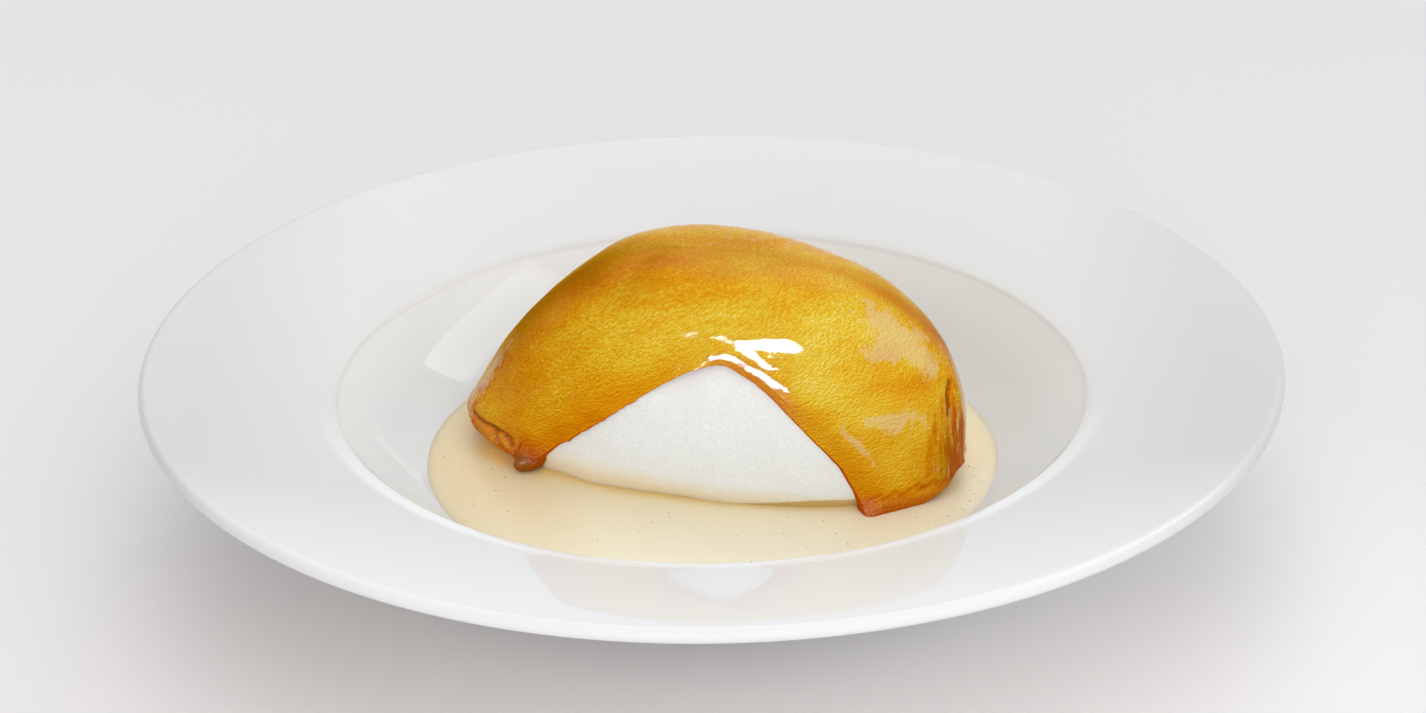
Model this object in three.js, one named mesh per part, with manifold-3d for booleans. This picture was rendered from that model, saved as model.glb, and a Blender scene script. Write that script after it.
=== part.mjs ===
// Floating island: a poached meringue under a poured caramel shell, standing in a pool of
// vanilla custard, on the wide-rimmed porcelain plate that it is served in.
// Millimetres, +Z up. The origin is on the table, under the middle of the plate.
// The side where the caramel leaves the meringue bare faces -Y.
import * as THREE from "three";
import { mergeVertices } from "three/addons/utils/BufferGeometryUtils.js";
import Module from "manifold-3d";

// Plate
const PLATE_RADIUS = 150;
const PLATE_HEIGHT = 48.3;
const PLATE_SEGMENTS = 64;
const WELL_RADIUS = 98.9; // where the rim turns down into the well
const WELL_EDGE_DROP = 10.1; // the well's edge below the top of the rim
const WELL_EDGE_ROUND = 1.6;
const FLOOR_TOP = 8.5; // the well's flat floor above the table
const FLOOR_RADIUS = 43;
const WALL_THICKNESS = 5;
const WALL_TRIM = 1.2; // degrees that the rounded edge takes off the top of the wall
const LIP_RADIUS = 2; // the rim's rounded outer edge
const FOOT_OUTER = 57;
const FOOT_INNER = 51;
const FOOT_ROUND = 1.2;
const RECESS_TOP = 3.2; // underside of the floor inside the foot ring

// Custard
const CUSTARD_LEVEL = 17;
const CUSTARD_SEGMENTS = 64;
const GAP = 0.4; // clearance between pieces that touch in the real dish

// Mound: the outer form that meringue and caramel share, an uneven half egg
const MOUND_CENTRE = [-10.4, 8.1];
const MOUND_TURN = -21.3; // degrees about Z
const MOUND_LEFT = 58.5; // half lengths along and across its own axis
const MOUND_RIGHT = 79.4;
const MOUND_FRONT = 35.1;
const MOUND_BACK = 45.5;
const MOUND_HEIGHT = 57; // above the custard
const MOUND_LEAN = 0.081; // sideways drift for each millimetre of height
// Powers of its rounding: 2 is an ellipse, more is boxier, and near 1 is a straight slope
const CROWN_FULLNESS = { left: 2.1, right: 2.92, face: 2.69 };
const FOOT_FULLNESS = { left: 1.37, right: 2.92, face: 2.69 };

// Meringue
const MERINGUE_SEGMENTS = 60;
const MERINGUE_LEVELS = 10;
const BELLY_HEIGHT = 6; // its widest line above the custard
const KEEL_INSET = 14; // how far the underside draws in
const KEEL_POWER = 2.75;
const KEEL_STEPS = 6;
const FILM_DEPTH = 1.6; // custard left between meringue and plate

// Caramel
const CARAMEL_THICKNESS = 1.8;
const CARAMEL_COLUMNS = 84;
const CARAMEL_LEVELS = 10;
const EDGE_DROOP = 0.7; // the rounded edge hangs this far below both faces
// The caramel's lower edge, once round the mound: azimuth in degrees about the mound's own
// axis, height above the custard. It runs along the hem and then over the bare front's arch.
const HEM = [
  [-20, 1.1], [-7, 1.2], [-2, 2.6], [1, 4.6], [12, 2.8], [30, 1.8], [60, 3], [95, 1.8],
  [130, 3.6], [165, 4.4], [187, 6.2], [204, 5], [212.5, 3.8], [221, 3.4], [226.5, 1.1], [229.5, 3],
];
const ARCH = [
  [232, 6.2], [239, 10.7], [256, 19.9], [273, 28], [290, 34.6], [299, 37.3], [306.5, 38.7],
  [312, 37.8], [320, 33.5], [326.7, 25.8], [333.6, 14.1], [337.5, 5.4],
];
// Swellings of the caramel: azimuth and its spread in degrees, height and its spread, rise
const SWELLINGS = [
  [227, 3, 2, 4, 1.3], // the drip at the left foot
  [211, 12, 4.5, 3.5, 0.9], // the thick lip beside it
  [200, 25, 10, 12, 0.6], // the left flank
  [160, 25, 53, 5, 0.9], // the shoulder at the upper left
  [55, 45, 54, 6, 0.7], // the far side of the crown
  [340, 8, -1, 8, 3.2], // the flared corner at the right foot
  [0, 5, 24, 16, 1.3], // folds down the right side
  [8, 3.5, 12, 14, 1],
  [88, 5, 6, 9, 1], // runs down the back
  [60, 4, 8, 10, 0.9],
];

const radians = THREE.MathUtils.degToRad;
const degrees = THREE.MathUtils.radToDeg;
const wasm = await Module();
wasm.setup();

// A solid that manifold-3d can cut, from a closed geometry.
function toSolid(geometry) {
  const bare = geometry.clone();
  bare.deleteAttribute("normal");
  bare.deleteAttribute("uv");
  const merged = mergeVertices(bare, 1e-3);
  const vertProperties = new Float32Array(merged.attributes.position.array);
  const triVerts = new Uint32Array(merged.index.array);
  return new wasm.Manifold(new wasm.Mesh({ numProp: 3, vertProperties, triVerts }));
}

function toGeometry(solid) {
  const { vertProperties, triVerts } = solid.getMesh();
  const geometry = new THREE.BufferGeometry();
  geometry.setAttribute("position", new THREE.BufferAttribute(vertProperties, 3));
  geometry.setIndex(new THREE.BufferAttribute(triVerts, 1));
  geometry.computeVertexNormals();
  return geometry;
}

// Revolves a profile of [radius, height] points about Z.
function lathe(profile, segments) {
  const points = profile.map(([radius, height]) => new THREE.Vector2(radius, height));
  return new THREE.LatheGeometry(points, segments).rotateX(Math.PI / 2);
}

// Points on an arc in the profile plane, with angles in degrees from the radius direction.
function arc(centreRadius, centreHeight, radius, from, to, steps) {
  return Array.from({ length: steps + 1 }, (_, i) => {
    const angle = radians(from + ((to - from) * i) / steps);
    return [centreRadius + radius * Math.cos(angle), centreHeight + radius * Math.sin(angle)];
  });
}

// The well is a flat floor with a round wall that climbs to the well's edge.
const wellEdgeHeight = PLATE_HEIGHT - WELL_EDGE_DROP;
const wellRun = WELL_RADIUS - FLOOR_RADIUS;
const wellRise = wellEdgeHeight - FLOOR_TOP;
const wallRadius = (wellRun ** 2 + wellRise ** 2) / (2 * wellRise);
const wallCentre = FLOOR_TOP + wallRadius;
const wallSweep = degrees(Math.asin(wellRun / wallRadius));
const wallAngle = -90 + wallSweep; // where the wall meets the well's edge

function plateGeometry() {
  const rimRun = PLATE_RADIUS - LIP_RADIUS - WELL_RADIUS;
  const rimSlope = degrees(Math.atan2(WELL_EDGE_DROP, rimRun));
  const lipHeight = PLATE_HEIGHT - LIP_RADIUS;
  const edgeShare = radians(wallSweep + rimSlope) / 2;
  const edgeInset = WELL_EDGE_ROUND / Math.cos(radians(wallSweep - rimSlope) / 2);
  const edgeCentre = [
    WELL_RADIUS + edgeInset * Math.sin(edgeShare),
    wellEdgeHeight - edgeInset * Math.cos(edgeShare),
  ];
  const outerRadius = wallRadius + WALL_THICKNESS;
  const footAngle = -degrees(Math.acos((FOOT_OUTER - FLOOR_RADIUS) / outerRadius));
  return lathe(
    [
      [0, FLOOR_TOP],
      ...arc(FLOOR_RADIUS, wallCentre, wallRadius, -90, wallAngle - WALL_TRIM, 7),
      ...arc(...edgeCentre, WELL_EDGE_ROUND, 90 + wallSweep, 90 + rimSlope, 3),
      ...arc(PLATE_RADIUS - LIP_RADIUS, lipHeight, LIP_RADIUS, 90 + rimSlope, rimSlope - 90, 6),
      ...arc(FLOOR_RADIUS, wallCentre, outerRadius, wallAngle, footAngle, 5),
      ...arc(FOOT_OUTER - FOOT_ROUND, FOOT_ROUND, FOOT_ROUND, 0, -90, 2),
      ...arc(FOOT_INNER + FOOT_ROUND, FOOT_ROUND, FOOT_ROUND, -90, -180, 2),
      [FOOT_INNER, RECESS_TOP],
      [0, RECESS_TOP],
    ].reverse(),
    PLATE_SEGMENTS,
  );
}

// A point of the mound's surface. The azimuth is about its own axis, rise is the angle from
// 0 at the foot to a right angle at the top, and inset shrinks the whole form.
function moundPoint(azimuth, rise, inset = 0) {
  const along = Math.cos(azimuth);
  const across = Math.sin(azimuth);
  const halfLength = (along > 0 ? MOUND_RIGHT : MOUND_LEFT) - inset;
  const halfWidth = (across > 0 ? MOUND_BACK : MOUND_FRONT) - inset;
  const plan = 1 / Math.hypot(along / halfLength, across / halfWidth);
  const radius = plan * Math.max(Math.cos(rise), 0) ** (2 / fullness(CROWN_FULLNESS, azimuth));
  const height = (MOUND_HEIGHT - inset) * Math.sin(rise) ** (2 / fullness(FOOT_FULLNESS, azimuth));
  return placeOnPlate(radius, azimuth, height);
}

// The rounding power towards an azimuth, blended between the sides and the face.
function fullness(powers, azimuth) {
  const along = Math.cos(azimuth);
  const side = along > 0 ? powers.right : powers.left;
  return THREE.MathUtils.lerp(powers.face, side, along ** 2);
}

// The rise angle at which the mound reaches a height above the custard.
function riseAt(azimuth, height, inset = 0) {
  const share = THREE.MathUtils.clamp(height / (MOUND_HEIGHT - inset), 0, 1);
  return Math.asin(share ** (fullness(FOOT_FULLNESS, azimuth) / 2));
}

function placeOnPlate(radius, azimuth, height) {
  const turned = azimuth + radians(MOUND_TURN);
  return new THREE.Vector3(
    MOUND_CENTRE[0] + radius * Math.cos(turned) + MOUND_LEAN * height,
    MOUND_CENTRE[1] + radius * Math.sin(turned),
    CUSTARD_LEVEL + height,
  );
}

// Joins rings of points into a closed skin. Every ring has as many points as the first, and
// the first and the last may be a single point.
function skin(rings) {
  const count = rings.find((ring) => ring.length > 1).length;
  const starts = [];
  const positions = [];
  for (const ring of rings) {
    starts.push(positions.length / 3);
    ring.forEach((point) => positions.push(point.x, point.y, point.z));
  }
  const index = [];
  for (let r = 0; r + 1 < rings.length; r++) {
    const vertex = (ring, i) => starts[ring] + (rings[ring].length > 1 ? i % count : 0);
    for (let i = 0; i < count; i++) {
      const [a, b] = [vertex(r, i), vertex(r, i + 1)];
      const [c, d] = [vertex(r + 1, i), vertex(r + 1, i + 1)];
      if (a !== b) index.push(a, b, c);
      if (c !== d) index.push(b, d, c);
    }
  }
  const geometry = new THREE.BufferGeometry();
  geometry.setAttribute("position", new THREE.Float32BufferAttribute(positions, 3));
  geometry.setIndex(index);
  geometry.computeVertexNormals();
  return geometry;
}

// The meringue follows the mound down to its belly and then draws in under itself.
function meringueGeometry(growth = 0) {
  const inset = CARAMEL_THICKNESS + 2 * GAP - growth;
  const depth = BELLY_HEIGHT + CUSTARD_LEVEL - FLOOR_TOP - FILM_DEPTH + growth;
  const azimuths = Array.from(
    { length: MERINGUE_SEGMENTS },
    (_, i) => (i * 2 * Math.PI) / MERINGUE_SEGMENTS,
  );
  const bellyRise = (azimuth) => riseAt(azimuth, BELLY_HEIGHT, inset);
  const middle = moundPoint(0, Math.PI / 2, inset);
  const rings = [[middle.clone().setZ(CUSTARD_LEVEL + BELLY_HEIGHT - depth)]];
  for (let step = KEEL_STEPS; step > 0; step--) {
    const angle = (step * Math.PI) / 2 / KEEL_STEPS;
    const draw = KEEL_INSET * (1 - Math.max(Math.cos(angle), 0) ** KEEL_POWER);
    rings.push(
      azimuths.map((azimuth) => {
        const belly = moundPoint(azimuth, bellyRise(azimuth), inset);
        const turned = azimuth + radians(MOUND_TURN);
        belly.x -= draw * Math.cos(turned);
        belly.y -= draw * Math.sin(turned);
        return belly.setZ(CUSTARD_LEVEL + BELLY_HEIGHT - depth * Math.sin(angle));
      }),
    );
  }
  for (let level = 0; level < MERINGUE_LEVELS; level++) {
    rings.push(
      azimuths.map((azimuth) => {
        const foot = bellyRise(azimuth);
        return moundPoint(azimuth, foot + ((Math.PI / 2 - foot) * level) / MERINGUE_LEVELS, inset);
      }),
    );
  }
  rings.push([middle]);
  return skin(rings);
}

// How far a swelling lifts the caramel's outer face at a place on the mound.
function caramelSwell(azimuthDegrees, height) {
  return SWELLINGS.reduce((sum, [azimuth, spread, centre, reach, lift]) => {
    const aside = ((azimuthDegrees - azimuth + 540) % 360) - 180;
    return sum + lift * Math.exp(-((aside / spread) ** 2) - ((height - centre) / reach) ** 2);
  }, 0);
}

// The caramel is a shell over the mound, open in front, with a rounded edge all round.
function caramelGeometry() {
  const loop = [...HEM, ...ARCH, [HEM[0][0] + 360, HEM[0][1]]];
  const edge = new THREE.SplineCurve(loop.map(([x, y]) => new THREE.Vector2(x, y)));
  const columns = edge.getSpacedPoints(CARAMEL_COLUMNS).slice(0, CARAMEL_COLUMNS);
  const outer = (column, level) => {
    const azimuth = radians(column.x);
    const foot = riseAt(azimuth, column.y);
    const rise = foot + ((Math.PI / 2 - foot) * level) / CARAMEL_LEVELS;
    const height = moundPoint(azimuth, rise).z - CUSTARD_LEVEL;
    const swell = caramelSwell(column.x, height);
    return moundPoint(azimuth, rise, -swell).setZ(CUSTARD_LEVEL + height + swell * Math.sin(rise));
  };
  const inner = (column, level) => {
    const azimuth = radians(column.x);
    const foot = riseAt(azimuth, column.y, CARAMEL_THICKNESS);
    const rise = foot + ((Math.PI / 2 - foot) * level) / CARAMEL_LEVELS;
    return moundPoint(azimuth, rise, CARAMEL_THICKNESS);
  };
  const edgePoint = (column) =>
    outer(column, 0).lerp(inner(column, 0), 0.5).sub(new THREE.Vector3(0, 0, EDGE_DROOP));
  const rings = [[inner(columns[0], CARAMEL_LEVELS)]];
  for (let level = CARAMEL_LEVELS - 1; level >= 0; level--) {
    rings.push(columns.map((column) => inner(column, level)));
  }
  rings.push(columns.map(edgePoint));
  for (let level = 0; level < CARAMEL_LEVELS; level++) {
    rings.push(columns.map((column) => outer(column, level)));
  }
  rings.push([outer(columns[0], CARAMEL_LEVELS)]);
  return skin(rings);
}

// The custard fills the well up to its level, round the meringue's foot.
function custardGeometry() {
  const poolRadius = wallRadius - GAP;
  const surfaceAngle = degrees(Math.asin((CUSTARD_LEVEL - wallCentre) / poolRadius));
  const pool = lathe(
    [
      [0, FLOOR_TOP + GAP],
      ...arc(FLOOR_RADIUS, wallCentre, poolRadius, -90, surfaceAngle, 6),
      [0, CUSTARD_LEVEL],
    ],
    CUSTARD_SEGMENTS,
  );
  return toGeometry(toSolid(pool).subtract(toSolid(meringueGeometry(GAP))));
}

function piece(name, geometry, color, roughness) {
  const material = new THREE.MeshStandardMaterial({ color, roughness, metalness: 0 });
  const mesh = new THREE.Mesh(geometry, material);
  mesh.name = name;
  return mesh;
}

const floatingIsland = new THREE.Group();
floatingIsland.add(
  piece("plate", plateGeometry(), 0xececea, 0.12),
  piece("custard", custardGeometry(), 0xefdcb2, 0.3),
  piece("meringue", meringueGeometry(), 0xf6f5f2, 0.75),
  piece("caramel", caramelGeometry(), 0xc8860c, 0.1),
);

export default floatingIsland;
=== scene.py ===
import bmesh
import bpy
import math
import random
from mathutils import Matrix, Vector, geometry, kdtree, noise


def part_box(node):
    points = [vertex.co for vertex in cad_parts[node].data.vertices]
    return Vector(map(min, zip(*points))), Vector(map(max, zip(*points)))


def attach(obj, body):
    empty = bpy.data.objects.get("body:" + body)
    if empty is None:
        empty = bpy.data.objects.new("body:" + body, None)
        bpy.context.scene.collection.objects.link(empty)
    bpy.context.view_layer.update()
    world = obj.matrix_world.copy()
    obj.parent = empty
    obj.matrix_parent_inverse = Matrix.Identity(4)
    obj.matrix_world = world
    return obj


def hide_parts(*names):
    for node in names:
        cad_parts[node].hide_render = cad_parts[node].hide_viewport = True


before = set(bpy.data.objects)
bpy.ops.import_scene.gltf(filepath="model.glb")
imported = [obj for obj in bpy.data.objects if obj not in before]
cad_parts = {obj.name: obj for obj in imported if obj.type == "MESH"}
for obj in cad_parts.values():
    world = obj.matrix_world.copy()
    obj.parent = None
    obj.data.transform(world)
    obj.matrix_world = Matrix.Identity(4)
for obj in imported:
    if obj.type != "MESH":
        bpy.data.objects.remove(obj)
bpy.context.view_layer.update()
mm = 0.001                   # one millimetre in the scene
weldGap = 0.002              # points of caramel and custard nearer than this become one
grainSpread = (0.3, 0.7)     # where most of a noise texture lies

# Sizes below are in millimetres and angles in degrees, unless a note says otherwise
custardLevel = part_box("custard")[1].z / mm
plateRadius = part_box("plate")[1].x / mm
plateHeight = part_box("plate")[1].z / mm


# Small tools that every piece uses

def blend(a, b, share):
    return a + (b - a) * share


def bell(distance, spread):
    return math.exp(-((distance / spread) ** 2))


def step(low, high, value):
    share = min(max((value - low) / (high - low), 0.0), 1.0)
    return share * share * (3 - 2 * share)


def turnFrom(azimuth, other):
    return (azimuth - other + 540) % 360 - 180


def finishMesh(bm, name, material):
    for face in bm.faces:
        face.smooth = True
    mesh = bpy.data.meshes.new(name)
    bm.to_mesh(mesh)
    bm.free()
    piece = bpy.data.objects.new(name, mesh)
    bpy.context.scene.collection.objects.link(piece)
    mesh.materials.append(material)
    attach(piece, "root")
    print(name, "has", len(mesh.polygons), "faces")
    return piece


# Small tools for materials

def feed(tree, socket, value):
    if isinstance(value, bpy.types.NodeSocket):
        tree.links.new(value, socket)
    else:
        socket.default_value = value


def addNode(tree, kind, inputs=None, **settings):
    made = tree.nodes.new("ShaderNode" + kind)
    for name, value in settings.items():
        setattr(made, name, value)
    for name, value in (inputs or {}).items():
        feed(tree, made.inputs[name], value)
    return made


def newMaterial(name, **constants):
    material = bpy.data.materials.new(name)
    material.use_nodes = True
    shader = material.node_tree.nodes["Principled BSDF"]
    for socket, value in constants.items():
        shader.inputs[socket.replace("_", " ")].default_value = value
    return material, material.node_tree, shader


def placeOf(tree, stretch=(1, 1, 1), tilt=0, shift=(0, 0, 0)):
    coords = addNode(tree, "TexCoord")
    mapped = addNode(tree, "Mapping", {
        "Vector": coords.outputs["Object"], "Location": [part * mm for part in shift],
        "Rotation": (0, math.radians(tilt), 0), "Scale": stretch,
    }, vector_type="TEXTURE")
    return mapped.outputs["Vector"]


def grainOf(tree, place, size, detail=3.0, roughness=0.55):
    made = addNode(tree, "TexNoise", {
        "Vector": place, "Scale": 1 / (size * mm), "Detail": detail, "Roughness": roughness,
    })
    return made.outputs[0]


def dotsOf(tree, place, size):
    return addNode(tree, "TexVoronoi", {"Vector": place, "Scale": 1 / (size * mm)}).outputs["Distance"]


def markOf(tree, name):
    return addNode(tree, "Attribute", attribute_name=name).outputs["Fac"]


def stretchTo(tree, value, fromLow, fromHigh, toLow, toHigh):
    made = addNode(tree, "MapRange", {
        "Value": value, "From Min": fromLow, "From Max": fromHigh, "To Min": toLow, "To Max": toHigh,
    })
    return made.outputs[0]


# From nothing at the first of two places to full at the second
def bandOf(tree, value, places, full=1):
    return stretchTo(tree, value, places[0] * mm, places[1] * mm, 0, full)


def sumOf(tree, first, second, operation="ADD"):
    made = addNode(tree, "Math", operation=operation)
    feed(tree, made.inputs[0], first)
    feed(tree, made.inputs[1], second)
    return made.outputs[0]


def mixOf(tree, share, first, second):
    made = addNode(tree, "Mix", data_type="RGBA")
    feed(tree, made.inputs[0], share)
    feed(tree, made.inputs[6], first)
    feed(tree, made.inputs[7], second)
    return made.outputs[2]


def rampOf(tree, value, stops):
    made = addNode(tree, "ValToRGB", {"Fac": value})
    ramp = made.color_ramp
    while len(ramp.elements) < len(stops):
        ramp.elements.new(0.5)
    for element, (position, colour) in zip(ramp.elements, stops):
        element.position = position
        element.color = colour
    return made.outputs[0]


def bumpOf(tree, height, distance, strength=1.0, under=None):
    made = addNode(tree, "Bump", {"Height": height, "Distance": distance * mm, "Strength": strength})
    if under is not None:
        feed(tree, made.inputs["Normal"], under)
    return made.outputs["Normal"]


# Mound: the uneven half egg that meringue and caramel share
mound = {
    "centre": (-10.4, 8.1),
    "turn": -21.3,
    "left": 58.5,       # half lengths along and across its own axis
    "right": 79.4,
    "front": 35.1,
    "back": 45.5,
    "height": 57.0,     # above the custard
    "lean": 0.081,      # sideways drift for each millimetre of height
    "crown": {"left": 2.1, "right": 2.92, "face": 2.69},
    "foot": {"left": 1.37, "right": 2.92, "face": 2.69},
}


# In the functions of mound, meringue and custard, azimuth and rise are in radians
def fullness(powers, azimuth):
    along = math.cos(azimuth)
    side = powers["right"] if along > 0 else powers["left"]
    return blend(powers["face"], side, along ** 2)


def moundPoint(azimuth, rise, inset=0.0):
    along, across = math.cos(azimuth), math.sin(azimuth)
    halfLength = (mound["right"] if along > 0 else mound["left"]) - inset
    halfWidth = (mound["back"] if across > 0 else mound["front"]) - inset
    plan = 1 / math.hypot(along / halfLength, across / halfWidth)
    radius = plan * max(math.cos(rise), 0.0) ** (2 / fullness(mound["crown"], azimuth))
    height = (mound["height"] - inset) * math.sin(rise) ** (2 / fullness(mound["foot"], azimuth))
    turned = azimuth + math.radians(mound["turn"])
    return Vector((
        mound["centre"][0] + radius * math.cos(turned) + mound["lean"] * height,
        mound["centre"][1] + radius * math.sin(turned),
        custardLevel + height,
    ))


def riseAt(azimuth, height, inset=0.0):
    share = min(max(height / (mound["height"] - inset), 0.0), 1.0)
    return math.asin(share ** (fullness(mound["foot"], azimuth) / 2))


# Plate: one profile, drawn from the middle of the floor over the rim and back under, spun round
plate = {
    "wellRadius": 98.9,    # where the rim turns down into the well
    "wellDrop": 10.1,      # the well's edge below the top of the rim
    "edgeRound": 2.0,
    "edgeTrim": 1.2,       # degrees that the rounded edge takes off the wall
    "floorTop": 8.5,
    "floorRadius": 43.0,
    "wall": 5.0,
    "lip": 2.0,            # radius of the rim's rounded edge
    "footOuter": 57.0,
    "footInner": 51.0,
    "footRound": 1.2,
    "recess": 3.2,
    # the rim from the well to the lip, with a soft ridge at the well
    "rimLine": [
        (0.01, 0.05), (0.025, 0.11), (0.045, 0.13), (0.07, 0.08), (0.1, 0.02), (0.15, 0),
        (0.3, 0), (0.5, 0), (0.75, 0), (1.0, 0),
    ],
    "floorRings": (0.35, 0.7, 1.0),
    "wallSteps": 30,
    "edgeSteps": 8,
    "lipSteps": 16,
    "underSteps": 20,
    "footSteps": 5,
    "steps": 288,          # once round
    "weldGap": 0.001,
}
wellEdge = plateHeight - plate["wellDrop"]
wellRun = plate["wellRadius"] - plate["floorRadius"]
wellRise = wellEdge - plate["floorTop"]
wallRadius = (wellRun ** 2 + wellRise ** 2) / (2 * wellRise)
wallCentre = plate["floorTop"] + wallRadius


def wallHeight(radius):
    run = max(radius - plate["floorRadius"], 0.0)
    return wallCentre - math.sqrt(wallRadius ** 2 - run ** 2)


def lineTo(bm, vert, radius, height):
    grown = bmesh.ops.extrude_vert_indiv(bm, verts=[vert])["verts"][0]
    grown.co = (radius * mm, 0, height * mm)
    return grown


def arcTo(bm, vert, centre, sweep, steps):
    swept = bmesh.ops.spin(
        bm, geom=[vert], cent=(centre[0] * mm, 0, centre[1] * mm), axis=(0, -1, 0),
        angle=math.radians(sweep), steps=steps,
    )
    return [item for item in swept["geom_last"] if isinstance(item, bmesh.types.BMVert)][0]


def spinRound(bm, steps):
    bmesh.ops.spin(
        bm, geom=bm.verts[:] + bm.edges[:], cent=(0, 0, 0), axis=(0, 0, 1),
        angle=2 * math.pi, steps=steps, use_merge=True,
    )
    bmesh.ops.remove_doubles(bm, verts=bm.verts, dist=plate["weldGap"] * mm)
    bmesh.ops.recalc_face_normals(bm, faces=bm.faces)


# Its glaze: the tints, and the places between which each one comes in; the darker sides, the lighter
# front and wall, and the bright line at the well's edge are painted light and shade
porcelain = {
    "rim": [(0.3, (0.68, 0.68, 0.67, 1)), (0.7, (0.695, 0.695, 0.685, 1))],
    # painted shade: the rim darker at its sides
    "sides": (0.63, 0.63, 0.62, 1),
    "sideBand": (98, 132),
    # painted light: the rim lighter at its front
    "front": (0.82, 0.83, 0.835, 1),
    "frontBand": (-60, -130),
    "edge": (0.85, 0.87, 0.875, 1),     # a painted highlight along the front of the well
    "edgeAt": 2.2,                      # outside the well's radius
    "edgeBand": (3.4, 1.2),
    "edgeFrontBand": (-15, -70),
    # painted light: the well's wall lighter than the rim, and lighter still near its top
    "wall": (0.715, 0.76, 0.775, 1),
    "wallTop": (0.81, 0.85, 0.865, 1),
    "wallTopBand": (14, 4),             # below the well's edge
    "wellBlend": 1.2,
    "cloud": 40,                        # sizes of the faint clouds and smears in it
    "smear": 18,
    "waves": (6, 0.03, 0.2),            # size, depth and strength
    "roughness": (0.02, 0.045),
}


def porcelainMaterial():
    material, tree, shader = newMaterial("glazedPorcelain", IOR=1.25)
    place = placeOf(tree)
    x, y, z = addNode(tree, "SeparateXYZ", {"Vector": place}).outputs
    tint = rampOf(tree, grainOf(tree, place, porcelain["cloud"], detail=2), porcelain["rim"])
    # painted shade at the rim's sides, painted light at its front
    sideShade = bandOf(tree, sumOf(tree, x, 0.0, "ABSOLUTE"), porcelain["sideBand"])
    tint = mixOf(tree, sideShade, tint, porcelain["sides"])
    tint = mixOf(tree, bandOf(tree, y, porcelain["frontBand"]), tint, porcelain["front"])
    flat = addNode(tree, "VectorMath", {0: place, 1: (1, 1, 0)}, operation="MULTIPLY").outputs["Vector"]
    outward = addNode(tree, "VectorMath", {0: flat}, operation="LENGTH").outputs["Value"]
    # painted highlight along the front of the well's edge
    fromEdge = sumOf(tree, outward, (plate["wellRadius"] + porcelain["edgeAt"]) * mm, "SUBTRACT")
    edgeHighlight = bandOf(tree, sumOf(tree, fromEdge, 0.0, "ABSOLUTE"), porcelain["edgeBand"])
    edgeHighlight = sumOf(tree, edgeHighlight, bandOf(tree, y, porcelain["edgeFrontBand"]), "MULTIPLY")
    tint = mixOf(tree, edgeHighlight, tint, porcelain["edge"])
    # painted light: the well's wall lighter, and lighter still near its top
    wallTop = bandOf(tree, z, [wellEdge - drop for drop in porcelain["wallTopBand"]])
    wellTint = mixOf(tree, wallTop, porcelain["wall"], porcelain["wallTop"])
    inWell = bandOf(tree, z, (wellEdge, wellEdge - porcelain["wellBlend"]))
    feed(tree, shader.inputs["Base Color"], mixOf(tree, inWell, tint, wellTint))
    smear = grainOf(tree, place, porcelain["smear"], detail=4)
    feed(tree, shader.inputs["Roughness"], stretchTo(tree, smear, *grainSpread, *porcelain["roughness"]))
    size, depth, strength = porcelain["waves"]
    waves = grainOf(tree, place, size, detail=2)
    feed(tree, shader.inputs["Normal"], bumpOf(tree, waves, depth, strength))
    return material


def makePlate():
    rimRun = plateRadius - plate["lip"] - plate["wellRadius"]
    rimSlope = math.degrees(math.atan2(plate["wellDrop"], rimRun))
    wallSweep = math.degrees(math.asin(wellRun / wallRadius))
    bm = bmesh.new()
    vert = bm.verts.new((0, 0, plate["floorTop"] * mm))
    for share in plate["floorRings"]:
        vert = lineTo(bm, vert, plate["floorRadius"] * share, plate["floorTop"])
    wallMiddle = (plate["floorRadius"], wallCentre)
    vert = arcTo(bm, vert, wallMiddle, wallSweep - plate["edgeTrim"], plate["wallSteps"])
    edgeShare = math.radians(wallSweep + rimSlope) / 2
    edgeInset = plate["edgeRound"] / math.cos(math.radians(wallSweep - rimSlope) / 2)
    edgeCentre = (
        plate["wellRadius"] + edgeInset * math.sin(edgeShare),
        wellEdge - edgeInset * math.cos(edgeShare),
    )
    start = math.radians(90 + wallSweep)
    vert = lineTo(
        bm, vert, edgeCentre[0] + plate["edgeRound"] * math.cos(start),
        edgeCentre[1] + plate["edgeRound"] * math.sin(start),
    )
    vert = arcTo(bm, vert, edgeCentre, rimSlope - wallSweep, plate["edgeSteps"])
    lipCentre = (plateRadius - plate["lip"], plateHeight - plate["lip"])
    start = math.radians(90 + rimSlope)
    rimEnd = (
        lipCentre[0] + plate["lip"] * math.cos(start),
        lipCentre[1] + plate["lip"] * math.sin(start),
    )
    rimStart = (vert.co.x / mm, vert.co.z / mm)
    for share, lift in plate["rimLine"]:
        height = blend(rimStart[1], rimEnd[1], share) + lift
        vert = lineTo(bm, vert, blend(rimStart[0], rimEnd[0], share), height)
    vert = arcTo(bm, vert, lipCentre, -180, plate["lipSteps"])
    outer = wallRadius + plate["wall"]
    wallAngle = math.radians(wallSweep - 90)
    vert = lineTo(
        bm, vert, plate["floorRadius"] + outer * math.cos(wallAngle),
        wallCentre + outer * math.sin(wallAngle),
    )
    footAngle = -math.degrees(math.acos((plate["footOuter"] - plate["floorRadius"]) / outer))
    vert = arcTo(bm, vert, wallMiddle, footAngle - (wallSweep - 90), plate["underSteps"])
    footRound, footSteps = plate["footRound"], plate["footSteps"]
    vert = lineTo(bm, vert, plate["footOuter"], footRound)
    vert = arcTo(bm, vert, (plate["footOuter"] - footRound, footRound), -90, footSteps)
    vert = lineTo(bm, vert, plate["footInner"] + footRound, 0)
    vert = arcTo(bm, vert, (plate["footInner"] + footRound, footRound), -90, footSteps)
    vert = lineTo(bm, vert, plate["footInner"], plate["recess"])
    lineTo(bm, vert, 0, plate["recess"])
    spinRound(bm, plate["steps"])
    piece = finishMesh(bm, "porcelainPlate", porcelainMaterial())
    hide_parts("plate")


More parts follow.
